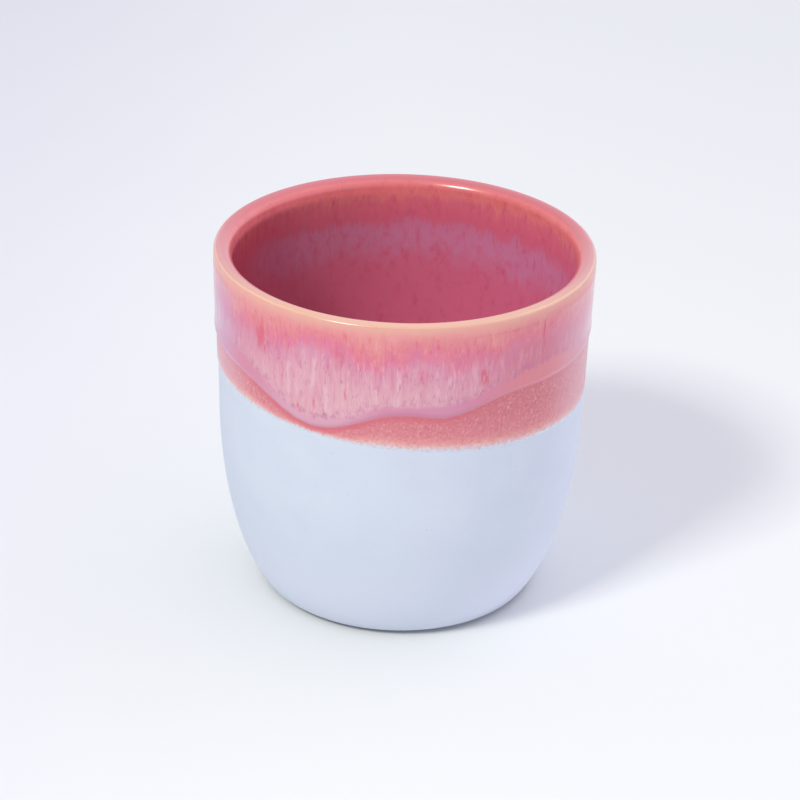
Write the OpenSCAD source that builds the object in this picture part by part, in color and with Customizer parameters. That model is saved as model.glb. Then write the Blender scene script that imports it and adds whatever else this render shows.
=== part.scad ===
// A handleless ceramic cup. The clay body is bare and matt outside below a tilted dip line.
// A liner glaze coats the inside, and the lip and the top of the outside carry two more coats.
// The cup stands on z = 0, its axis is Z, and -Y is the side with the deepest drip.

/* [Cup] */
// Height from the table to the crest of the glazed lip
cup_h = 80.7; // [70:0.1:95]
// Width across the bare clay where the belly meets the upright wall
belly_d = 81.4; // [75:0.2:93]
// Height at which the belly meets the upright wall
belly_h = 44.4; // [36:0.1:50]
// How far under the table the belly's curve would bottom out if it ran on
belly_dip = 3.5; // [1:0.1:8]
// How far the glazed wall stands out at the lip past the bare belly
lip_flare = 1.25; // [0:0.05:4]

/* [Clay] */
// Thickness of the clay wall at the lip
lip_wall_t = 3.1; // [2.4:0.1:4]
// Radius of the lip's shoulder on the outside, under the glaze
lip_out_round = 0.25; // [0.2:0.05:0.6]
// Radius of the lip's shoulder on the inside, under the glaze
lip_in_round = 1.8; // [0.6:0.1:2.2]
// Thickness of the clay wall where the belly meets the upright wall
belly_wall_t = 3.4; // [2.4:0.1:5]
// Thickness of the clay floor over the recess
floor_t = 4.4; // [3:0.1:7]
// Width of the flat part of the clay floor inside
floor_d = 44; // [30:1:50]

/* [Foot] */
// Width across the bottom edge of the body
foot_edge_d = 62.2; // [57:0.2:68]
// Height of the foot ring, from the table to the bottom edge of the body
foot_h = 1.2; // [0.5:0.1:2]
// How far the foot ring stands in from the bottom edge of the body
foot_in = 1.7; // [0.6:0.1:2.5]
// Width of the foot ring's wall
foot_ring_w = 3.6; // [2.5:0.1:6]
// Radius on both edges of the foot ring
foot_round = 0.35; // [0.2:0.05:0.45]
// Depth of the recess under the floor
recess_h = 1.7; // [0.8:0.1:2.5]

/* [Glaze] */
// Thickness of the liner glaze on the inside wall
liner_t = 0.5; // [0.3:0.05:1]
// Thickness of the liner glaze where it pools on the floor
pool_t = 1.2; // [0.6:0.1:2]
// Thickness of the glaze on the crest of the lip, where it draws thin
crest_t = 0.4; // [0.2:0.05:0.6]
// Thickness of the first outside coat
dip_t = 0.25; // [0.15:0.05:0.6]
// Thickness of the second outside coat, which lies on the first
run_t = 0.3; // [0.15:0.05:0.8]
// How far the lip coat reaches down from the crest, inside and outside
lip_coat_h = 3; // [2.5:0.1:5]

/* [Dip lines] */
// Depth from the crest to the dip line of the first coat
dip_depth = 28.8; // [20:0.2:34]
// Tilt of that dip line, down towards +X
dip_tilt = 3.9; // [0:0.1:7]
// Depth from the crest to the edge of the second coat, between its drips
run_depth = 15.2; // [10:0.2:18]
// How far the deepest drip hangs below that edge
drip_drop = 10.4; // [1:0.2:12]

/* [Hidden] */
$fn = 96;

clay_colour = [0.80, 0.85, 0.93];
liner_colour = [0.75, 0.33, 0.44];
lip_colour = [0.93, 0.66, 0.60];
dip_colour = [0.86, 0.50, 0.53];
run_colour = [0.90, 0.63, 0.74];

// Points on each curve of the profile, and steps round the second coat's edge
curve_steps = 24;
lip_steps = 6;
round_steps = 4;
edge_steps = 90;
// How far each shoulder of the lip turns before the crest's flatter curve takes over
lip_shoulder = 75;
// How late on its way down the liner starts to swell to its pool
pool_lateness = 4;
// How far every cutting solid runs past what it cuts
overrun = 2;

// The drips of the second coat, anticlockwise from the front: where each one hangs, how wide
// it spreads, and how far it drops as a share of the deepest one
drip_angles = [-66, -26, 14, 55, 124, 172, 220, 268];
drip_spreads = [14, 17, 10, 37, 14, 16, 15, 13];
drip_shares = [0.32, 1, 0.4, 0.28, 0.6, 0.35, 0.95, 0.3];

// Radii of the bare clay
belly_r = belly_d / 2;
rim_r = belly_r + lip_flare;
lip_r = rim_r - dip_t - run_t;
lip_in_r = lip_r - lip_wall_t;
cavity_r = belly_r - belly_wall_t;
foot_edge_r = foot_edge_d / 2;
foot_r = foot_edge_r - foot_in;
recess_r = foot_r - foot_ring_w;
floor_r = floor_d / 2;
floor_z = recess_h + floor_t;

// The lip is a round shoulder on each side and a flatter curve over the crest between them
crest_z = cup_h - crest_t;
crest_round = (lip_wall_t - (lip_out_round + lip_in_round) * (1 - cos(lip_shoulder))) / (2 * cos(lip_shoulder));
shoulder_z = crest_z - crest_round * (1 - sin(lip_shoulder));
lip_out_z = shoulder_z - lip_out_round * sin(lip_shoulder);
lip_in_z = shoulder_z - lip_in_round * sin(lip_shoulder);

// The belly is part of an ellipse. It is upright at belly_h and is cut off at the foot.
belly_rise = belly_h + belly_dip;
foot_angle = asin((belly_h - foot_h) / belly_rise);
belly_in = (belly_r - foot_edge_r) / (1 - cos(foot_angle));

// Where the lip coat meets its neighbours, inside and outside
seam_z = cup_h - lip_coat_h;

function reversed(list) = [for (i = [len(list) - 1 : -1 : 0]) list[i]];
function after_first(list) = [for (i = [1 : len(list) - 1]) list[i]];

// Points on an ellipse's arc, both ends included
function arc(centre, semi, from, to, steps) =
    [for (i = [0 : steps])
        let (a = from + (to - from) * i / steps)
        centre + [semi[0] * cos(a), semi[1] * sin(a)]];

// The point at height z on the line from a to b
function at_height(a, b, z) = a + (b - a) * (z - a[1]) / (b[1] - a[1]);

function unit(v) = v / norm(v);

// The normal to the right of an outline at its point i
function right_normal(outline, i) =
    let (before = outline[max(i - 1, 0)], after = outline[min(i + 1, len(outline) - 1)],
         along = unit(after - before))
    [along[1], -along[0]];

// The outline moved to its right by a thickness for each of its points
function coated(outline, thicknesses) =
    [for (i = [0 : len(outline) - 1]) outline[i] + thicknesses[i] * right_normal(outline, i)];

function even(outline, thickness) = [for (p = outline) thickness];

// The clay's outline in pieces, each running from the foot towards the floor of the cavity.
// Each starts where the one before it ends.
belly_outline = arc([belly_r - belly_in, belly_h], [belly_in, belly_rise], -foot_angle, 0, curve_steps);
outer_seam = at_height([belly_r, belly_h], [lip_r, lip_out_z], seam_z);
lip_outline = concat(
    arc([lip_r - lip_out_round, lip_out_z], [lip_out_round, lip_out_round], 0, lip_shoulder, lip_steps),
    after_first(arc([lip_r - lip_out_round * (1 - cos(lip_shoulder)) - crest_round * cos(lip_shoulder),
                     crest_z - crest_round],
                    [crest_round, crest_round], lip_shoulder, 180 - lip_shoulder, lip_steps)),
    after_first(arc([lip_in_r + lip_in_round, lip_in_z], [lip_in_round, lip_in_round],
                    180 - lip_shoulder, 180, lip_steps)));
inner_seam = at_height([lip_in_r, lip_in_z], [cavity_r, belly_h], seam_z);
cavity_outline = concat(
    arc([floor_r, belly_h], [cavity_r - floor_r, belly_h - floor_z], 0, -90, curve_steps),
    [[0, floor_z]]);

// The underside, from the axis out to the bottom edge of the body
foot_outline = concat(
    [[0, recess_h]],
    [[recess_r, recess_h]],
    arc([recess_r + foot_round, foot_round], [foot_round, foot_round], 180, 270, round_steps),
    arc([foot_r - foot_round, foot_round], [foot_round, foot_round], -90, 0, round_steps),
    [[foot_r, foot_h]]);

outside = concat(belly_outline, [outer_seam]);
over_lip = concat([outer_seam], lip_outline, [inner_seam]);
inside = concat([inner_seam], cavity_outline);

// The liner is even on the wall and swells to the pool on the floor
function pool_share(p) = pow(max(0, (belly_h - p[1]) / (belly_h - floor_z)), pool_lateness);
liner_ts = [for (p = inside) liner_t + (pool_t - liner_t) * pool_share(p)];

// The lip coat draws thin on the crest and fills out to its neighbours' thickness at the seams
function lip_share(p) = min(1, (crest_z - p[1]) / (crest_z - seam_z));
function lip_side_t(p) = p[0] > lip_r - lip_wall_t / 2 ? dip_t + run_t : liner_t;
lip_ts = [for (p = over_lip) crest_t + (lip_side_t(p) - crest_t) * lip_share(p)];

// Height of the second coat's edge at an angle from the front
function turn_between(a, b) = (a - b + 540) % 360 - 180;
function drip(a, i) =
    let (off = turn_between(a, drip_angles[i]) / drip_spreads[i])
    drip_shares[i] * exp(-off * off / 2);
function drips(a, i = 0) = i == len(drip_angles) ? 0 : drip(a, i) + drips(a, i + 1);
function run_edge_z(a) = cup_h - run_depth - drip_drop * drips(a);

module coat(outline, thicknesses)
    rotate_extrude()
        polygon(concat(outline, reversed(coated(outline, thicknesses))));

// Everything under the tilted dip line of the first coat
module below_dip_line()
    translate([0, 0, cup_h - dip_depth])
        rotate([0, dip_tilt, 0])
            translate([-2 * rim_r, -2 * rim_r, -2 * cup_h])
                cube([4 * rim_r, 4 * rim_r, 2 * cup_h]);

// A ring whose top follows the drips, to take away all of the second coat that is under them
module below_drips() {
    inner_r = foot_edge_r - overrun;
    outer_r = rim_r + dip_t + run_t + overrun;
    n = edge_steps;
    function corner(r, i, z) = let (a = 360 * i / n) [r * sin(a), -r * cos(a), z];
    points = concat(
        [for (i = [0 : n - 1]) corner(inner_r, i, run_edge_z(360 * i / n))],
        [for (i = [0 : n - 1]) corner(outer_r, i, run_edge_z(360 * i / n))],
        [for (i = [0 : n - 1]) corner(outer_r, i, -overrun)],
        [for (i = [0 : n - 1]) corner(inner_r, i, -overrun)]);
    faces = [for (ring = [0 : 3], i = [0 : n - 1], half = [0, 1])
        let (here = ring * n, next = (ring + 1) % 4 * n, j = (i + 1) % n)
        half == 0 ? [here + i, here + j, next + j] : [here + i, next + j, next + i]];
    polyhedron(points, faces);
}

// The fired clay, one piece: foot ring, belly, upright wall, round lip and cavity
module clay_body()
    color(clay_colour)
        rotate_extrude()
            polygon(concat(foot_outline, belly_outline, lip_outline, cavity_outline));

// The liner, poured in and swilled round, from the floor to just under the lip
module liner_glaze()
    color(liner_colour)
        coat(inside, liner_ts);

// The coat over the lip, where the liner and the outside coats meet and draw thin
module lip_glaze()
    color(lip_colour)
        coat(over_lip, lip_ts);

// The first outside coat, dipped lip down to a tilted line
module dip_glaze()
    color(dip_colour)
        difference() {
            coat(outside, even(outside, dip_t));
            below_dip_line();
        }

// The second outside coat, which ran over the first in drips and never past its dip line
module run_glaze()
    color(run_colour)
        difference() {
            under = coated(outside, even(outside, dip_t));
            coat(under, even(under, run_t));
            below_drips();
            below_dip_line();
        }

clay_body();
liner_glaze();
lip_glaze();
dip_glaze();
run_glaze();
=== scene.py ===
import math

import bpy
import numpy as np
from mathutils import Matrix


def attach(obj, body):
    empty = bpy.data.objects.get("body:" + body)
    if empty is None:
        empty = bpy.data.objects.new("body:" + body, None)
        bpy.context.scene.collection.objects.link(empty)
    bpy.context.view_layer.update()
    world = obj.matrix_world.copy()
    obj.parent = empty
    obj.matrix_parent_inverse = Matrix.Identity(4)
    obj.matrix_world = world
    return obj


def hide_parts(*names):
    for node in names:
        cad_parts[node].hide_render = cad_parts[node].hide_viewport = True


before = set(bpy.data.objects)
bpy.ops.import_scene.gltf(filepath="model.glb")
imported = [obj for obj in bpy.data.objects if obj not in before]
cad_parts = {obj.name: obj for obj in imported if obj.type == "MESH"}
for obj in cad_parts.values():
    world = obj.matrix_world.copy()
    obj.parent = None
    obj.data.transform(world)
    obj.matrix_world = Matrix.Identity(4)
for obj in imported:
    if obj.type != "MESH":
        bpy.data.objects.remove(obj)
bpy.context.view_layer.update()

# Camera. It looks down onto the cup from 60 centimetres away, through a long lens, so that the lip
# is a wide ellipse and the inside shows down to half its depth. It is held nearly two degrees off
# level.
MM = 0.001
CAMERA_DISTANCE = 598.2 * MM
CAMERA_RISE = math.radians(27.25)
CAMERA_LIFT = math.radians(0.196)
CAMERA_ROLL = math.radians(1.66)
CAMERA_AIM = [-0.14 * MM, 0, 40.4 * MM]
CAMERA_LENS = 119.4
CAMERA_SENSOR = 36
NEAREST_SEEN = 0.01

camera_data = bpy.data.cameras.new("camera")
camera_data.sensor_width = CAMERA_SENSOR
camera_data.lens = CAMERA_LENS
camera_data.clip_start = NEAREST_SEEN
camera = bpy.data.objects.new("camera", camera_data)
bpy.context.scene.collection.objects.link(camera)
bpy.context.scene.camera = camera
forward = np.array([0, math.cos(CAMERA_RISE), -math.sin(CAMERA_RISE)])
camera.location = CAMERA_AIM - CAMERA_DISTANCE * forward
camera.rotation_euler = (math.pi / 2 - CAMERA_RISE + CAMERA_LIFT, 0, 0)
camera.rotation_euler.rotate_axis("Z", CAMERA_ROLL)

# Clay body. One piece of pale blue clay, coloured all through, turned on its foot ring and fired
# without a glaze outside. The wall stands upright on a rounded belly and ends in a rounded lip.
# The ring and a shallow recess under the floor keep all but a narrow ring of it off the table.
CUP_H = 80.7 * MM
BELLY_R = 40.7 * MM
BELLY_H = 44.4 * MM
BELLY_DIP = 3.5 * MM
LIP_FLARE = 1.25 * MM
LIP_WALL = 3.1 * MM
LIP_OUT_ROUND = 0.25 * MM
LIP_IN_ROUND = 1.8 * MM
LIP_SHOULDER = math.radians(75)
BELLY_WALL = 3.4 * MM
FLOOR_T = 4.4 * MM
FLOOR_R = 22 * MM
FOOT_EDGE_R = 31.1 * MM
FOOT_H = 1.2 * MM
FOOT_IN = 1.7 * MM
FOOT_RING_W = 3.6 * MM
FOOT_ROUND = 0.35 * MM
FOOT_CORNER_W = 0.1 * MM
FOOT_CORNER_H = 0.05 * MM
RECESS_H = 1.7 * MM
CREST_T = 0.4 * MM
DIP_T = 0.25 * MM
RUN_T = 0.3 * MM
CLAY_TURN_STEPS = 360
SHARPEST_SMOOTHED = math.radians(50)

LIP_R = BELLY_R + LIP_FLARE - DIP_T - RUN_T
LIP_IN_R = LIP_R - LIP_WALL
CREST_Z = CUP_H - CREST_T
CREST_W = LIP_WALL - (LIP_OUT_ROUND + LIP_IN_ROUND) * (1 - math.cos(LIP_SHOULDER))
CREST_ROUND = CREST_W / (2 * math.cos(LIP_SHOULDER))
SHOULDER_Z = CREST_Z - CREST_ROUND * (1 - math.sin(LIP_SHOULDER))
LIP_OUT_Z = SHOULDER_Z - LIP_OUT_ROUND * math.sin(LIP_SHOULDER)
LIP_IN_Z = SHOULDER_Z - LIP_IN_ROUND * math.sin(LIP_SHOULDER)
CAVITY_R = BELLY_R - BELLY_WALL
FLOOR_Z = RECESS_H + FLOOR_T
FOOT_R = FOOT_EDGE_R - FOOT_IN
RECESS_R = FOOT_R - FOOT_RING_W
BELLY_RISE = BELLY_H + BELLY_DIP
FOOT_ANGLE = math.degrees(math.asin((BELLY_H - FOOT_H) / BELLY_RISE))
BELLY_IN = (BELLY_R - FOOT_EDGE_R) / (1 - math.cos(math.radians(FOOT_ANGLE)))


def arc(centre, semi_axes, start, end, steps):
    """Points on an arc of an ellipse between two angles in degrees, with that many steps."""
    angles = np.radians(np.linspace(start, end, steps + 1))
    return np.array(centre) + np.array(semi_axes) * np.stack([np.cos(angles), np.sin(angles)], -1)


def line(start, end, steps):
    return np.linspace(start, end, steps + 1)


def outer_wall(heights):
    """Radius of the bare clay outside, at heights from the belly's widest point up to the lip."""
    return BELLY_R + (LIP_R - BELLY_R) * (heights - BELLY_H) / (LIP_OUT_Z - BELLY_H)


def lip_section(steps):
    """The lip from outside to inside: a tight shoulder, a flatter crest and a wider shoulder."""
    bend = math.degrees(LIP_SHOULDER)
    crest_r = LIP_R - LIP_OUT_ROUND * (1 - math.cos(LIP_SHOULDER))
    crest_r = crest_r - CREST_ROUND * math.cos(LIP_SHOULDER)
    outside = arc([LIP_R - LIP_OUT_ROUND, LIP_OUT_Z], [LIP_OUT_ROUND] * 2, 0, bend, steps)
    crest = arc([crest_r, CREST_Z - CREST_ROUND], [CREST_ROUND] * 2, bend, 180 - bend, 2 * steps)
    inside = arc([LIP_IN_R + LIP_IN_ROUND, LIP_IN_Z], [LIP_IN_ROUND] * 2, 180 - bend, 180, steps)
    return np.concatenate([outside, crest[1:], inside[1:]])


def around(steps):
    """Angles anticlockwise from the front, seen from above."""
    return np.linspace(0, 2 * math.pi, steps, endpoint=False)


def turned(radii, heights, angles):
    """Places of points on rings about the axis: one row for each ring, one column for each angle."""
    radii = radii if np.ndim(radii) == 2 else np.repeat(radii[:, None], len(angles), 1)
    heights = heights if np.ndim(heights) == 2 else np.repeat(heights[:, None], len(angles), 1)
    return np.stack([radii * np.sin(angles), -radii * np.cos(angles), heights], -1)


def ring_mesh(name, rings, closed, values=None):
    """A shell with faces between each ring and the next, smooth but for its sharp corners.

    The last ring joins the first if closed, and otherwise both ends shut on the axis. Values are
    numbers for each point, by name, for the material."""
    rows, columns = rings.shape[:2]
    points = rings.reshape(-1, 3)
    here = np.arange(rows * columns).reshape(rows, columns)
    beside = np.roll(here, -1, 1)
    if closed:
        above, above_beside = np.roll(here, -1, 0), np.roll(beside, -1, 0)
        faces = np.stack([here, beside, above_beside, above], -1).reshape(-1, 4).tolist()
    else:
        faces = np.stack([here[:-1], beside[:-1], beside[1:], here[1:]], -1).reshape(-1, 4).tolist()
        poles = rings[[0, -1]].mean(1)
        first, last = len(points), len(points) + 1
        faces += [[first, b, a] for a, b in zip(here[0], beside[0])]
        faces += [[last, a, b] for a, b in zip(here[-1], beside[-1])]
        points = np.concatenate([points, poles])
    mesh = bpy.data.meshes.new(name)
    mesh.from_pydata(points.tolist(), [], faces)
    for key, value in (values or {}).items():
        value = value.reshape(-1)
        value = np.concatenate([value, np.full(len(points) - len(value), value[-1])])
        mesh.attributes.new(key, "FLOAT", "POINT").data.foreach_set("value", value.astype(np.float32))
    mesh.polygons.foreach_set("use_smooth", [True] * len(mesh.polygons))
    mesh.set_sharp_from_angle(angle=SHARPEST_SMOOTHED)
    mesh.update()
    made = bpy.data.objects.new(name, mesh)
    bpy.context.scene.collection.objects.link(made)
    return made


def linear(*rgb):
    """A colour as the eye reads it, 0 to 255, as the amounts of light that the shader takes."""
    share = np.array(rgb) / 255
    light = np.where(share <= 0.04045, share / 12.92, ((share + 0.055) / 1.055) ** 2.4)
    return (*light, 1)


class Nodes:
    """Shader nodes, added one at a time. Sockets and plain values both serve as inputs."""

    def __init__(self, owner):
        owner.use_nodes = True
        self.tree = owner.node_tree

    def add(self, kind, inputs, **settings):
        node = self.tree.nodes.new(kind)
        for key, value in settings.items():
            setattr(node, key, value)
        for key, value in inputs.items():
            self.put(value, node.inputs[key])
        return node

    def put(self, value, socket):
        if isinstance(value, bpy.types.NodeSocket):
            self.tree.links.new(value, socket)
        else:
            socket.default_value = value

    def math(self, operation, *values):
        return self.add("ShaderNodeMath", dict(enumerate(values)), operation=operation).outputs[0]


class Finish(Nodes):
    """A material, with the noises, steps and mixes that its colour is made from."""

    def __init__(self, name, **settings):
        self.material = bpy.data.materials.new(name)
        super().__init__(self.material)
        self.shader = self.tree.nodes["Principled BSDF"]
        for key, value in settings.items():
            self.shader.inputs[key].default_value = value

    def set(self, key, value):
        self.put(value, self.shader.inputs[key])

    def value(self, name):
        return self.add("ShaderNodeAttribute", {}, attribute_name=name).outputs["Fac"]

    def place(self, across, along):
        """Where a point is in millimetres, times these amounts across the cup and along its axis."""
        coordinates = self.add("ShaderNodeTexCoord", {}).outputs["Object"]
        scale = (across / MM, across / MM, along / MM)
        scaled = self.add("ShaderNodeVectorMath", {0: coordinates, 1: scale}, operation="MULTIPLY")
        return scaled.outputs[0]

    def sideways(self):
        """How far to the right of the axis, in millimetres."""
        return self.add("ShaderNodeSeparateXYZ", {0: self.place(1, 1)}).outputs["X"]

    def height(self):
        """How far above the table, in millimetres."""
        return self.add("ShaderNodeSeparateXYZ", {0: self.place(1, 1)}).outputs["Z"]

    def noise(self, across, along, detail=3.0, roughness=0.55, reach=1.0, shift=0.0):
        """Noise from about minus reach to plus reach, with that many waves to the millimetre."""
        where = self.add("ShaderNodeVectorMath", {0: self.place(across, along), 1: [shift] * 3})
        inputs = {"Vector": where.outputs[0], "Scale": 1.0, "Detail": detail, "Roughness": roughness}
        made = self.add("ShaderNodeTexNoise", inputs).outputs["Fac"]
        return self.math("MULTIPLY_ADD", made, 4 * reach, -2 * reach)

    def sum(self, *values):
        total = values[0]
        for value in values[1:]:
            total = self.math("ADD", total, value)
        return total

    def times(self, first, second):
        return self.math("MULTIPLY", first, second)

    def step(self, value, low, high):
        """0 below low, 1 above high, and smooth between them. With low above high it falls instead."""
        inputs = {"Value": value, "From Min": low, "From Max": high}
        return self.add("ShaderNodeMapRange", inputs, interpolation_type="SMOOTHSTEP").outputs["Result"]

    def mix(self, share, first, second, blend="MIX"):
        node = self.tree.nodes.new("ShaderNodeMix")
        node.data_type = "RGBA"
        node.blend_type = blend
        self.put(share, node.inputs[0])
        self.put(first, node.inputs[6])
        self.put(second, node.inputs[7])
        return node.outputs[2]

    def ramp(self, value, low, high, stops):
        """Colours along a value: stops are places from low to high, each with its colour."""
        share = self.add("ShaderNodeMapRange", {"Value": value, "From Min": low, "From Max": high})
        node = self.add("ShaderNodeValToRGB", {"Fac": share.outputs["Result"]})
        elements = node.color_ramp.elements
        while len(elements) < len(stops):
            elements.new(0.5)
        for element, (place, colour) in zip(elements, stops):
            element.position = (place - low) / (high - low)
            element.color = colour
        return node.outputs["Color"]

    def bump(self, height, depth):
        """Relief from a height of about minus 1 to 1, that many millimetres deep each way."""
        inputs = {"Height": height, "Distance": depth * MM, "Strength": 1.0}
        self.set("Normal", self.add("ShaderNodeBump", inputs).outputs["Normal"])


def cup_outline():
    """The clay's section, from the recess outwards, up the outside, over the lip and down inside."""
    return np.concatenate([
        line([RECESS_R / 8, RECESS_H], [RECESS_R - FOOT_ROUND, RECESS_H], 7),
        arc([RECESS_R - FOOT_ROUND, RECESS_H - FOOT_ROUND], [FOOT_ROUND, FOOT_ROUND], 90, 0, 4)[1:],
        arc([RECESS_R + FOOT_ROUND, FOOT_ROUND], [FOOT_ROUND, FOOT_ROUND], 180, 270, 5),
        arc([FOOT_R - FOOT_ROUND, FOOT_ROUND], [FOOT_ROUND, FOOT_ROUND], 270, 360, 5),
        line([FOOT_R, FOOT_H - FOOT_CORNER_H], [FOOT_R + FOOT_CORNER_W, FOOT_H], 1),
        arc([BELLY_R - BELLY_IN, BELLY_H], [BELLY_IN, BELLY_RISE], -FOOT_ANGLE, 0, 60),
        line([BELLY_R, BELLY_H], [LIP_R, LIP_OUT_Z], 24)[1:-1],
        lip_section(4),
        line([LIP_IN_R, LIP_IN_Z], [CAVITY_R, BELLY_H], 8)[1:-1],
        arc([FLOOR_R, BELLY_H], [CAVITY_R - FLOOR_R, BELLY_H - FLOOR_Z], 0, -90, 24),
        line([FLOOR_R, FLOOR_Z], [FLOOR_R / 8, FLOOR_Z], 7)[1:],
    ])


outline = cup_outline()
clay = ring_mesh(
    "clay_body", turned(outline[:, 0], outline[:, 1], around(CLAY_TURN_STEPS)), closed=False)
clay_finish = Finish("bare_blue_clay", Roughness=0.72, IOR=1.45)
cloud = clay_finish.noise(0.09, 0.09, detail=4)
grain = clay_finish.noise(2.2, 2.2, detail=2)
fleck = clay_finish.step(clay_finish.noise(0.9, 0.9, detail=1, shift=7), 1.1, 1.35)
painted_bounce_light = clay_finish.step(clay_finish.sum(clay_finish.height(), clay_finish.times(cloud, 3)), 26, 2)
clay_colour = clay_finish.mix(
    clay_finish.step(cloud, -1, 1), linear(211, 220, 236), linear(215, 224, 239))
# Painted light: a little paler towards the foot, standing in for light thrown up from the table.
# Painted shade: much darker on the foot ring and under it, where shade falls under the cup.
clay_colour = clay_finish.mix(painted_bounce_light, clay_colour, linear(222, 229, 246))
painted_foot_shade = clay_finish.step(clay_finish.height(), FOOT_H / MM + 0.02, FOOT_H / MM - 0.02)
clay_colour = clay_finish.mix(painted_foot_shade, clay_colour, linear(140, 152, 174))
clay_colour = clay_finish.mix(
    clay_finish.times(clay_finish.step(grain, 0.2, 1.2), 0.25), clay_colour, linear(198, 209, 229))
clay_colour = clay_finish.mix(clay_finish.times(fleck, 0.35), clay_colour, linear(160, 172, 200))
clay_finish.set("Base Color", clay_colour)
clay_finish.bump(clay_finish.sum(grain, clay_finish.times(cloud, 2)), 0.006)
clay.data.materials.append(clay_finish.material)
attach(clay, "root")
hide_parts("clay_body")

# Liner glaze. Poured in, swilled round and poured out again, with a little left pooled on the floor.
# It is a glossy crimson, opaque, and streaked with lilac where it ran down a little way from the
# lip. It is painted darker on the left as painted shade, where the cup's own wall keeps the lamp off.
LINER_T = 0.5 * MM
POOL_T = 1.2 * MM
POOL_LATENESS = 4
LIP_COAT_H = 3 * MM
LINER_TURN_STEPS = 600
SEAM_Z = CUP_H - LIP_COAT_H


def normals(outline):
    """Which way the surface faces at each point of a section, on its open side."""
    along = np.gradient(outline, axis=0)
    along = along / np.linalg.norm(along, axis=1)[:, None]
    return np.stack([along[:, 1], -along[:, 0]], -1)


def inner_wall(height):
    """Radius of the bare clay inside, at heights from the belly's widest point up to the lip."""
    share = (height - BELLY_H) / (LIP_IN_Z - BELLY_H)
    return CAVITY_R + (LIP_IN_R - CAVITY_R) * share


def liner_colour(finish):
    """The inside coat, from the crest of the lip down: coral, crimson streaks, lilac band, crimson, with
    painted shade on the left.
    """
    depth = finish.math("SUBTRACT", CUP_H / MM, finish.height())
    wide = finish.noise(0.08, 0.03, detail=2, shift=3)
    streak = finish.noise(0.55, 0.12, detail=4, roughness=0.62)
    fine = finish.noise(1.8, 0.4, detail=3, shift=11)
    mottle = finish.noise(0.45, 0.3, detail=5, roughness=0.65, shift=5)
    ragged = finish.sum(
        depth, finish.times(wide, 1.5), finish.times(streak, 1.8), finish.times(fine, 0.7))
    body = finish.ramp(ragged, 0, 40, [
        (0.6, linear(228, 121, 124)),
        (2.2, linear(235, 128, 130)),
        (3.4, linear(238, 136, 138)),
        (4.8, linear(230, 121, 138)),
        (8.5, linear(223, 111, 136)),
        (11.0, linear(218, 116, 146)),
        (40.0, linear(226, 122, 154)),
    ])
    # The lilac band, ragged above and below, which ends short of the far left.
    top = finish.step(finish.sum(ragged, finish.times(fine, 0.8), finish.times(mottle, 1.0)), 9.2, 12.2)
    foot = finish.step(finish.sum(depth, finish.times(mottle, 3.0), finish.times(wide, 2.0)), 22.5, 14.0)
    side = finish.sideways()
    cover = finish.times(finish.sum(finish.times(mottle, -0.3), 0.68), finish.step(side, -36.5, -31))
    body = finish.mix(finish.times(finish.times(top, foot), cover), body, linear(211, 141, 177))
    # Red blotches, dark and pale streaks and purple flecks.
    body = finish.mix(finish.times(finish.step(mottle, 0.0, 1.3), 0.55), body, linear(204, 80, 112))
    streaky = finish.times(finish.sum(streak, finish.times(fine, 0.5)), finish.step(depth, 24, 14))
    body = finish.mix(finish.times(finish.step(streaky, 0.2, 1.4), 0.5), body, linear(204, 78, 106))
    body = finish.mix(finish.times(finish.step(streaky, -0.3, -1.4), 0.4), body, linear(230, 142, 162))
    fleck = finish.step(finish.noise(1.5, 0.8, detail=1, shift=23), 1.0, 1.4)
    body = finish.mix(finish.times(fleck, 0.4), body, linear(160, 60, 92))
    # Painted shade: darker towards the left, where the wall keeps the lamp off, below a painted shadow
    # edge a few millimetres under the crest, so all but the lip.
    painted_left_shade = finish.ramp(side, -40, 28, [
        (-40, (0.52, 0.28, 0.29, 1)),
        (-24, (0.69, 0.71, 0.67, 1)),
        (0, (0.91, 0.9, 0.93, 1)),
        (28, (1, 1, 1.1, 1)),
    ])
    return finish.mix(finish.step(depth, 2.6, 4.4), body, painted_left_shade, blend="MULTIPLY")


cavity = np.concatenate([
    line([inner_wall(SEAM_Z), SEAM_Z], [CAVITY_R, BELLY_H], 56),
    arc([FLOOR_R, BELLY_H], [CAVITY_R - FLOOR_R, BELLY_H - FLOOR_Z], 0, -90, 56)[1:],
    line([FLOOR_R, FLOOR_Z], [FLOOR_R / 16, FLOOR_Z], 15)[1:],
])
pool_share = np.maximum(0, (BELLY_H - cavity[:, 1]) / (BELLY_H - FLOOR_Z)) ** POOL_LATENESS
liner_top = cavity + (LINER_T + (POOL_T - LINER_T) * pool_share)[:, None] * normals(cavity)
liner_outline = np.concatenate([cavity[::-1][::4], liner_top])
liner = ring_mesh(
    "liner_glaze",
    turned(liner_outline[:, 0], liner_outline[:, 1], around(LINER_TURN_STEPS)),
    closed=False)
liner_finish = Finish("crimson_liner_glaze", Roughness=0.13, IOR=1.5)
liner_finish.set("Base Color", liner_colour(liner_finish))
liner.data.materials.append(liner_finish.material)
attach(liner, "root")
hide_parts("liner_glaze")

# First outside coat. The cup was dipped lip down to a slightly tilted line, in a coral glaze that
# fires satin and finely speckled, painted paler at both sides as a painted sheen. It thins out over
# its last millimetre, where the clay's grain breaks its edge.
DIP_LINE_Z = 51.9 * MM
DIP_TILT = math.radians(3.9)
DIP_EDGE_W = 1.3 * MM
DIP_OVERRUN = 0.35 * MM
DIP_RAG = 0.3 * MM
EDGE_SINK = 0.02 * MM
BACK_SINK = 0.03 * MM
TURN_STEPS = 1080
angles = around(TURN_STEPS)


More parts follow.
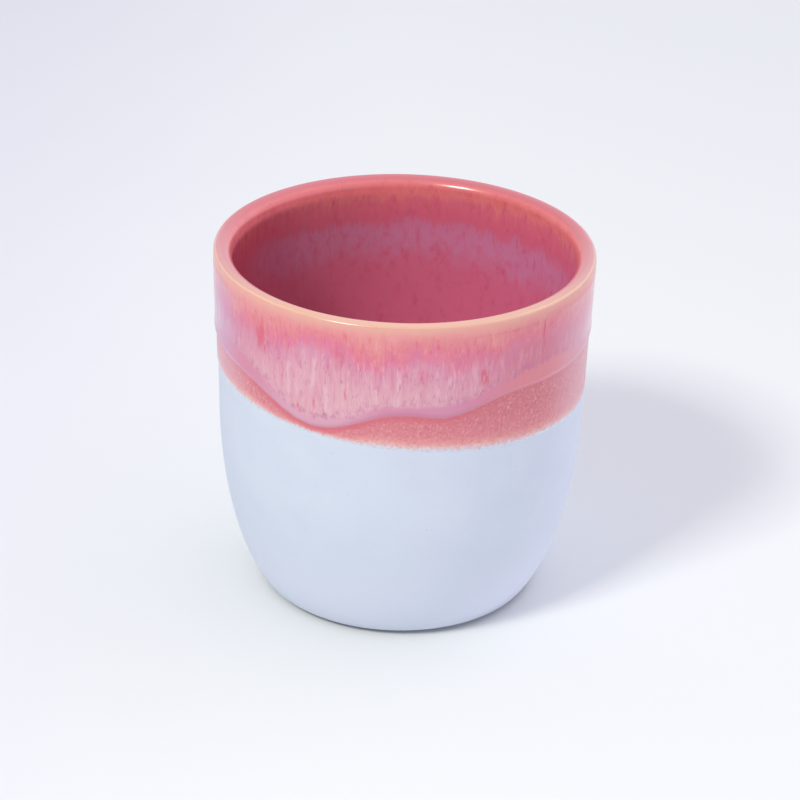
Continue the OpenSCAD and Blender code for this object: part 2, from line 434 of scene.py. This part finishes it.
def ragged_edge(angles, longest, waves, seed):
    """A wandering line round the cup, about minus 1 to 1, of that many waves from the longest down."""
    rng = np.random.default_rng(seed)
    total = np.zeros_like(angles)
    for count in range(longest, longest + waves):
        total += rng.normal() * np.sin(count * angles + rng.uniform(0, 2 * math.pi)) / count ** 0.5
    return total / np.abs(total).max()


def dip_line(angles):
    """Height of the plane down to which the cup was dipped."""
    return DIP_LINE_Z - outer_wall(DIP_LINE_Z) * np.sin(angles) * math.tan(DIP_TILT)


# Angles are degrees from the front, to the right, with how wide each drip spreads and how far it
# drops as a share of the deepest.
DRIPS = [
    (-66, 14, 0.32),
    (-26, 17, 1.0),
    (14, 10, 0.4),
    (55, 37, 0.28),
    (124, 14, 0.6),
    (172, 16, 0.35),
    (220, 15, 0.95),
    (268, 13, 0.3),
]
RUN_EDGE_Z = 65.5 * MM
DRIP_DROP = 10.4 * MM


def bearing(angles, place):
    """Degrees round from a place, from minus 180 to 180."""
    return (np.degrees(angles) - place + 540) % 360 - 180


def swell(angles, place, spread):
    """1 at a place round the cup, and falling away to 0 on both sides of it."""
    return np.exp(-(bearing(angles, place) / spread) ** 2 / 2)


def run_edge(angles):
    """Height of the second coat's edge, with its drips."""
    total = np.zeros_like(angles)
    for place, spread, share in DRIPS:
        total += share * swell(angles, place, spread)
    return RUN_EDGE_Z - DRIP_DROP * total


# The second coat went on more thinly in some places, and more of the first shows through it there.
THIN_PLACES = [(47, 17, 0.8), (108, 16, 0.5), (196, 14, 0.7), (303, 13, 0.35)]


def whiteness(angles):
    """How much of the second coat's own white there is, from 1 down to almost none."""
    return 1 - sum(share * swell(angles, place, spread) for place, spread, share in THIN_PLACES)


def wall_band(edge, shares, thickness):
    """Rings of a coat on the outer wall, up from its edge to the lip's coat, and back down behind."""
    heights = edge + (SEAM_Z - edge) * shares[:, None]
    out = outer_wall(heights) + thickness(heights)
    back_shares = shares[::-4]
    back_heights = edge + (SEAM_Z - edge) * back_shares[:, None]
    radii = np.concatenate([out, outer_wall(back_heights) - BACK_SINK])
    return turned(radii, np.concatenate([heights, back_heights]), angles)


def each_ring(values, rings):
    """The same values round every ring."""
    return np.repeat(values[None], len(rings), 0)


dip_edge = dip_line(angles) - DIP_OVERRUN + DIP_RAG * ragged_edge(angles, 40, 140, 3)
dip_shares = np.concatenate([np.linspace(0, 0.06, 10)[:-1], np.linspace(0.06, 1, 50)])


def dip_thickness(heights):
    """Full but for the edge, where it thins out until it just sinks into the clay."""
    rise = np.clip((heights - dip_edge) / DIP_EDGE_W, 0, 1)
    return DIP_T * rise * (2 - rise) - EDGE_SINK * (1 - rise)


dip_rings = wall_band(dip_edge, dip_shares, dip_thickness)
dip = ring_mesh("dip_glaze", dip_rings, closed=True, values={
    "over_dip_line": (dip_rings[..., 2] - dip_line(angles)) / MM,
    "over_run_edge": (dip_rings[..., 2] - run_edge(angles)) / MM,
    "white": each_ring(whiteness(angles), dip_rings),
})
dip_finish = Finish("coral_dip_glaze", Roughness=0.26, IOR=1.62)
dip_finish.set("Sheen Weight", 0.12)
dip_finish.set("Sheen Roughness", 0.3)
over_line = dip_finish.value("over_dip_line")
over_run = dip_finish.value("over_run_edge")
speckle = dip_finish.noise(1.7, 1.5, detail=3, roughness=0.7)
grit = dip_finish.noise(1.1, 1.1, detail=3, roughness=0.6, shift=13)
# Its colours lie closer together where the second coat comes down near its edge.
gap = dip_finish.math("SUBTRACT", over_line, over_run)
closeness = dip_finish.sum(1.0, dip_finish.times(dip_finish.step(gap, 7, 2.5), 1.2))
rise = dip_finish.sum(
    dip_finish.times(over_line, closeness),
    dip_finish.times(speckle, 0.55), dip_finish.times(grit, 0.6))
dip_colour = dip_finish.ramp(rise, -0.4, 8, [
    (0.0, linear(216, 225, 240)),
    (0.5, linear(226, 202, 210)),
    (1.1, linear(232, 178, 177)),
    (1.9, linear(228, 149, 149)),
    (3.2, linear(219, 128, 138)),
    (8.0, linear(210, 114, 126)),
])
# Pale and red speckles, which fade out towards the edge.
inside = dip_finish.step(over_line, 0.6, 1.8)
dip_colour = dip_finish.mix(
    dip_finish.times(dip_finish.times(dip_finish.step(speckle, 0.0, 0.9), 0.75), inside),
    dip_colour, linear(236, 168, 166))
dip_colour = dip_finish.mix(
    dip_finish.times(dip_finish.times(dip_finish.step(speckle, -0.1, -0.9), 0.75), inside),
    dip_colour, linear(198, 92, 114))
dip_colour = dip_finish.mix(
    dip_finish.times(dip_finish.step(grit, 0.2, 1.2), 0.3), dip_colour, linear(204, 120, 140))
# A redder line along the edge of the second coat, and a painted sheen, paler at both sides of
# the cup, where the glaze is seen at a slant.
red_line = dip_finish.step(dip_finish.sum(over_run, dip_finish.times(grit, 0.3)), -1.6, -0.3)
red_line = dip_finish.times(red_line, dip_finish.value("white"))
dip_colour = dip_finish.mix(dip_finish.times(red_line, 0.75), dip_colour, linear(214, 98, 116))
painted_side_sheen = dip_finish.step(dip_finish.math("ABSOLUTE", dip_finish.sideways()), 30, 38)
dip_colour = dip_finish.mix(
    dip_finish.times(dip_finish.times(painted_side_sheen, inside), 0.3), dip_colour, linear(222, 182, 202))
dip_finish.set("Base Color", dip_colour)
dip_finish.bump(speckle, 0.008)
dip.data.materials.append(dip_finish.material)
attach(dip, "root")
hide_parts("dip_glaze")

# Second outside coat. A white-rose glaze laid over the first at the lip, which ran in the fire
# towards the foot. It ends in a rolled edge that follows its drips, lilac where it dripped, and
# above that it broke into fine upright streaks.
RUN_EDGE_W = 1.3 * MM
ROLL_PLACE = 1.4 * MM
ROLL_W = 0.8 * MM
ROLL_SHARE = 0.4
RUN_RAG = 0.12 * MM
# Where it hardly dripped the coloured roll is broader: degrees, spread and how many millimetres more.
BROAD_ROLLS = [(-66, 16, 2.6), (50, 15, 2.4)]
run_edge_z = run_edge(angles) + RUN_RAG * ragged_edge(angles, 12, 60, 8)
run_shares = np.concatenate([np.linspace(0, 0.22, 22)[:-1], np.linspace(0.22, 1, 50)])


def run_thickness(heights):
    """A rise over the first coat at its edge, then the roll, then the plain coat."""
    over = heights - run_edge_z
    rise = np.clip(over / RUN_EDGE_W, 0, 1)
    roll = 1 + ROLL_SHARE * np.exp(-((over - ROLL_PLACE) / ROLL_W) ** 2 / 2)
    roll = roll * (0.5 + 0.5 * whiteness(angles))
    return DIP_T + RUN_T * roll * rise ** 2 * (3 - 2 * rise) - EDGE_SINK * (1 - rise)


def outer_colour(finish):
    """The outside coats from the crest of the lip down: peach, salmon, rose streaks, white-rose."""
    depth = finish.math("SUBTRACT", CUP_H / MM, finish.height())
    over_edge = finish.value("over_run_edge")
    flow = finish.value("flow")
    white = finish.value("white")
    wide = finish.noise(0.12, 0.03, detail=3, roughness=0.6, shift=2)
    streak = finish.noise(0.62, 0.11, detail=3, roughness=0.62)
    fine = finish.noise(2.0, 0.35, detail=3, shift=9)
    speck = finish.noise(3.2, 1.6, detail=2, shift=6)
    mottle = finish.noise(0.9, 0.6, detail=4, roughness=0.65, shift=15)
    fur = finish.sum(streak, finish.times(fine, 0.7))
    raggedness = finish.sum(
        finish.times(wide, 3.2), finish.times(streak, 2.4),
        finish.times(fine, 1.0), finish.times(mottle, 0.8))
    ragged = finish.sum(depth, finish.times(raggedness, finish.step(depth, 0.5, 7)))
    body = finish.ramp(ragged, 0, 17, [
        (0.8, linear(234, 168, 155)),
        (2.2, linear(231, 149, 149)),
        (3.8, linear(228, 136, 143)),
        (6.0, linear(225, 125, 140)),
        (8.2, linear(222, 124, 150)),
        (9.8, linear(217, 143, 169)),
        (12.5, linear(220, 154, 175)),
        (17.0, linear(224, 168, 182)),
    ])
    # Rosier between the salmon and the white, and coral in the thin places.
    rosy = finish.times(finish.step(ragged, 4.6, 6.4), finish.step(ragged, 10.0, 8.2))
    body = finish.mix(finish.times(finish.times(rosy, white), 0.22), body, linear(226, 120, 168))
    below = finish.step(finish.sum(depth, finish.times(fur, 1.6), finish.times(wide, 1.2)), 6.2, 9.2)
    thin = finish.times(finish.step(white, 0.95, 0.2), finish.step(depth, 5.5, 9.0))
    body = finish.mix(finish.times(thin, 0.92), body, linear(212, 119, 142))
    # Dark and pale streaks, then thin purple ones and specks.
    dark = finish.times(finish.step(fur, 0.0, 1.0), finish.step(depth, 4.2, 7.6))
    dark = finish.times(dark, finish.sum(finish.times(white, 0.4), 0.3))
    dark = finish.times(dark, finish.sum(finish.times(finish.step(ragged, 18, 11), 0.55), 0.45))
    body = finish.mix(dark, body, linear(208, 104, 146))
    pale = finish.times(finish.times(finish.step(fur, 0.0, -0.9), below), white)
    body = finish.mix(finish.times(pale, 0.65), body, linear(233, 190, 200))
    ridge = finish.step(finish.math("ABSOLUTE", finish.noise(0.75, 0.12, detail=2, shift=21)), 0.14, 0.0)
    ridge = finish.times(finish.times(ridge, finish.step(mottle, -0.4, 0.6)), finish.times(below, white))
    body = finish.mix(finish.times(ridge, 0.65), body, linear(194, 96, 142))
    body = finish.mix(finish.times(finish.step(speck, 0.9, 1.4), 0.35), body, linear(176, 92, 130))
    # Red and pale blotches in the salmon.
    upper = finish.times(finish.step(ragged, 9.0, 7.0), finish.step(depth, 1.5, 3.5))
    red = finish.times(finish.step(finish.sum(mottle, finish.times(fine, 0.5)), 0.1, 1.1), upper)
    body = finish.mix(finish.times(red, 0.65), body, linear(222, 92, 112))
    blush = finish.times(finish.step(finish.sum(mottle, finish.times(fine, 0.5)), -0.2, -1.1), upper)
    body = finish.mix(finish.times(blush, 0.55), body, linear(236, 158, 172))
    # The rolled edge, with violet mottling over it and a redder line along its rim.
    inner_edge = finish.sum(
        over_edge, finish.times(wide, 0.7), finish.times(fine, 0.4),
        finish.times(mottle, 0.4), finish.times(finish.value("broad"), -1.0))
    violet = finish.times(finish.step(inner_edge, 5.0, 3.0), finish.step(mottle, -0.4, 0.7))
    body = finish.mix(finish.times(violet, 0.6), body, linear(188, 112, 152))
    rich_roll = finish.mix(finish.step(flow, 0.45, 1.0), linear(211, 131, 163), linear(217, 160, 182))
    roll_colour = finish.mix(finish.step(white, 0.2, 0.9), linear(223, 132, 144), rich_roll)
    body = finish.mix(finish.step(inner_edge, 3.2, 1.8), body, roll_colour)
    rim_line = finish.step(finish.sum(over_edge, finish.times(mottle, 0.2)), 0.9, 0.1)
    return finish.mix(finish.times(rim_line, 0.65), body, linear(214, 118, 136))


# Places where the coats broke or pooled as they ran: degrees from the front, height and half width
# and length in millimetres, and how strongly they show.
MARKS = [
    (-45.0, 71.7, 1.3, 2.4, 1.2),
    (-31.0, 58.7, 0.35, 0.9, 1.0),
    (-26.0, 60.7, 0.35, 2.0, 0.7),
    (-16.0, 64.2, 0.35, 1.6, 0.7),
    (-37.0, 66.2, 0.35, 1.8, 0.6),
    (-40.0, 63.4, 0.3, 1.2, 0.5),
    (25.0, 68.2, 1.2, 1.9, 0.8),
    (6.0, 69.6, 0.7, 1.6, 0.7),
    (-18.0, 72.2, 1.3, 2.4, 0.5),
    (45.5, 72.6, 0.26, 4.2, 0.9),
    (118.0, 68.4, 0.8, 2.5, 0.8),
    (150.0, 63.4, 0.4, 1.5, 0.8),
    (205.0, 66.4, 0.5, 2.0, 0.7),
    (236.0, 70.4, 1.0, 2.0, 0.7),
    (285.0, 69.4, 0.4, 2.4, 0.6),
]


def marks(angles, heights):
    """How strongly the marks show at points round the cup and up it."""
    total = np.zeros_like(heights)
    for place, height, half_w, half_l, amount in MARKS:
        off = np.radians(bearing(angles, place)) * BELLY_R / (half_w * MM)
        up = (heights - height * MM) / (half_l * MM)
        total += amount * np.exp(-(off ** 2 + up ** 2) / 2)
    return total


run_rings = wall_band(run_edge_z, run_shares, run_thickness)
flow = (RUN_EDGE_Z - run_edge(angles)) / DRIP_DROP
broad = sum(more * swell(angles, place, spread) for place, spread, more in BROAD_ROLLS)
run = ring_mesh("run_glaze", run_rings, closed=True, values={
    "over_run_edge": (run_rings[..., 2] - run_edge(angles)) / MM,
    "flow": each_ring(flow, run_rings),
    "white": each_ring(whiteness(angles), run_rings),
    "marks": marks(angles, run_rings[..., 2]),
    "broad": each_ring(broad, run_rings),
})
run_finish = Finish("rose_run_glaze", Roughness=0.16, IOR=1.6)
run_finish.set("Sheen Weight", 0.12)
run_finish.set("Sheen Roughness", 0.3)
broken = run_finish.sum(
    run_finish.noise(1.4, 0.35, detail=3, roughness=0.65, reach=0.9, shift=31), 0.75)
mark = run_finish.times(run_finish.value("marks"), broken)
run_colour = run_finish.mix(
    run_finish.times(run_finish.step(mark, 0.08, 0.8), 0.75),
    outer_colour(run_finish), linear(214, 84, 110))
# Painted reflections: paler at the far right and lilac at the far left, where the glaze mirrors the
# room at a slant.
painted_right_reflection = run_finish.step(run_finish.sideways(), 30, 38)
run_colour = run_finish.mix(run_finish.times(painted_right_reflection, 0.32), run_colour, linear(224, 184, 200))
painted_left_reflection = run_finish.step(run_finish.sideways(), -33, -39)
run_colour = run_finish.mix(run_finish.times(painted_left_reflection, 0.34), run_colour, linear(200, 168, 212))
run_finish.set("Base Color", run_colour)
run.data.materials.append(run_finish.material)
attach(run, "root")
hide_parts("run_glaze")

# Lip glaze. Where the inside and outside coats meet over the lip they drew thin in the fire and
# broke to peach in front, with a paler line along the outer edge of the crest.
lip_path = np.concatenate([
    line([outer_wall(SEAM_Z), SEAM_Z], [LIP_R, LIP_OUT_Z], 5)[:-1],
    lip_section(9),
    line([LIP_IN_R, LIP_IN_Z], [inner_wall(SEAM_Z), SEAM_Z], 5)[1:],
])
lip_share = np.clip((CREST_Z - lip_path[:, 1]) / (CREST_Z - SEAM_Z), 0, 1)
side_t = np.where(lip_path[:, 0] > LIP_R - LIP_WALL / 2, DIP_T + RUN_T, LINER_T)
lip_top = lip_path + (CREST_T + (side_t - CREST_T) * lip_share)[:, None] * normals(lip_path)
lip_outline = np.concatenate([lip_top, lip_path[::-1][::2]])
across_lip = (LIP_R + DIP_T + RUN_T - lip_outline[:, 0]) / (LIP_WALL + DIP_T + RUN_T + LINER_T)
# It is barest in front.
bareness = np.clip(0.35 + 0.65 * np.cos(angles), 0, 1)
lip_rings = turned(lip_outline[:, 0], lip_outline[:, 1], angles)
lip = ring_mesh("lip_glaze", lip_rings, closed=True, values={
    "over_run_edge": (lip_rings[..., 2] - run_edge(angles)) / MM,
    "flow": each_ring(flow, lip_rings),
    "across_lip": np.repeat(across_lip[:, None], TURN_STEPS, 1),
    "white": each_ring(whiteness(angles), lip_rings),
    "bare": each_ring(bareness, lip_rings),
    "broad": each_ring(broad, lip_rings),
})
lip_finish = Finish("thin_lip_glaze", Roughness=0.21, IOR=1.62)
waver = lip_finish.noise(0.3, 0.3, detail=3)
bare = lip_finish.value("bare")
across = lip_finish.sum(lip_finish.value("across_lip"), lip_finish.times(waver, 0.03))
crest_colour = lip_finish.ramp(bare, 0, 1, [
    (0.0, linear(206, 128, 138)),
    (0.35, linear(205, 142, 148)),
    (0.62, linear(211, 152, 146)),
    (0.76, linear(217, 163, 147)),
    (0.9, linear(221, 171, 149)),
    (1.0, linear(225, 176, 154)),
])
# The crest is pinker towards the inside, most of all behind.
inner_crest = lip_finish.mix(
    lip_finish.step(bare, 0.0, 0.5), linear(204, 106, 115), linear(208, 136, 140))
pinker = lip_finish.sum(across, lip_finish.times(bare, -0.55), 0.55)
crest_colour = lip_finish.mix(lip_finish.step(pinker, 0.58, 0.82), crest_colour, inner_crest)
# The inside coat comes up to the crest on one side, and the outside coats on the other.
inner_side = lip_finish.step(across, 0.66, 0.86)
lip_colour = lip_finish.mix(inner_side, crest_colour, liner_colour(lip_finish))
thin_line = lip_finish.times(lip_finish.step(across, 0.02, 0.07), lip_finish.step(across, 0.2, 0.12))
thin_line = lip_finish.times(thin_line, lip_finish.step(bare, 0.99, 0.8))
lip_colour = lip_finish.mix(lip_finish.times(thin_line, 0.48), lip_colour, linear(243, 206, 178))
outer_side = lip_finish.step(across, 0.09, 0.01)
lip_colour = lip_finish.mix(outer_side, lip_colour, outer_colour(lip_finish))
lip_finish.set("Base Color", lip_colour)
lip.data.materials.append(lip_finish.material)
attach(lip, "root")
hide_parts("lip_glaze")

# Table and light. A pale seamless table, with one soft lamp high on the left in front, which throws
# the cup's shadow back to the right. The room is bright behind the cup, overhead, high on the left
# and on the right, and dim behind the camera, so that little of it is mirrored in the front.
TABLE_R = 6.0
TABLE_SIDES = 96
LAMP_DIRECTION = np.array([-0.468, -0.525, 0.775])
LAMP_DISTANCE = 1.25
LAMP_SIZE = (0.25, 0.225)
LAMP_POWER = 7.75
LAMP_COLOUR = linear(255, 253, 239)[:3]
# The side that each wash of light comes from, how narrow it is, its colour and its strength.
ROOM_LIGHT = [
    ((0, 1, 0), 1, linear(249, 247, 255), 0.85),
    ((1, 0, 0), 1, linear(252, 245, 255), 1.04),
    ((0, 0, 1), 2, linear(237, 240, 255), 0.8),
    ((0, -1, 0), 1, linear(255, 255, 255), 0.095),
    ((-0.7, -0.3, 0.65), 3, linear(254, 254, 255), 0.26),
]

table_mesh = bpy.data.meshes.new("table")
table_angles = around(TABLE_SIDES)
table_rim = TABLE_R * np.stack([np.cos(table_angles), np.sin(table_angles), 0 * table_angles], -1)
table_mesh.from_pydata(table_rim.tolist(), [], [list(range(TABLE_SIDES))])
table = bpy.data.objects.new("table", table_mesh)
bpy.context.scene.collection.objects.link(table)
table_finish = Finish("pale_table", Roughness=0.9)
# Painted shade: the table is darker towards the left, where less of the room's light falls.
painted_shade_across_table = table_finish.sum(
    table_finish.sideways(), table_finish.noise(0.02, 0.02, detail=2, reach=6))
table_finish.set("Base Color", table_finish.mix(
    table_finish.step(painted_shade_across_table, -165, 5), linear(218, 220, 227), linear(231, 234, 235)))
table.data.materials.append(table_finish.material)

lamp_data = bpy.data.lights.new("lamp", "AREA")
lamp_data.shape = "RECTANGLE"
lamp_data.size, lamp_data.size_y = LAMP_SIZE
lamp_data.energy = LAMP_POWER
lamp_data.color = LAMP_COLOUR
lamp = bpy.data.objects.new("lamp", lamp_data)
bpy.context.scene.collection.objects.link(lamp)
lamp.location = LAMP_DISTANCE * LAMP_DIRECTION / np.linalg.norm(LAMP_DIRECTION)
lamp.rotation_euler = (-lamp.location).to_track_quat("-Z", "Y").to_euler()


class Room(Nodes):
    """The light of the room all round, as a sum of washes that each fade out away from one side."""

    def __init__(self):
        self.world = bpy.data.worlds.new("room")
        super().__init__(self.world)
        self.direction = self.add("ShaderNodeTexCoord", {}).outputs["Generated"]
        self.light = None

    def wash(self, side, narrowness, colour, amount):
        both = {0: self.direction, 1: side}
        facing = self.add("ShaderNodeVectorMath", both, operation="DOT_PRODUCT").outputs["Value"]
        share = self.math("POWER", self.math("MAXIMUM", facing, 0), narrowness)
        full = [amount * part for part in colour[:3]]
        light = self.add("ShaderNodeVectorMath", {0: full, "Scale": share}, operation="SCALE").outputs[0]
        if self.light is not None:
            light = self.add("ShaderNodeVectorMath", {0: self.light, 1: light}).outputs[0]
        self.light = light
        self.put(light, self.tree.nodes["Background"].inputs["Color"])


room = Room()
for wash in ROOM_LIGHT:
    room.wash(*wash)
bpy.context.scene.world = room.world
bpy.context.scene.view_settings.view_transform = "Standard"
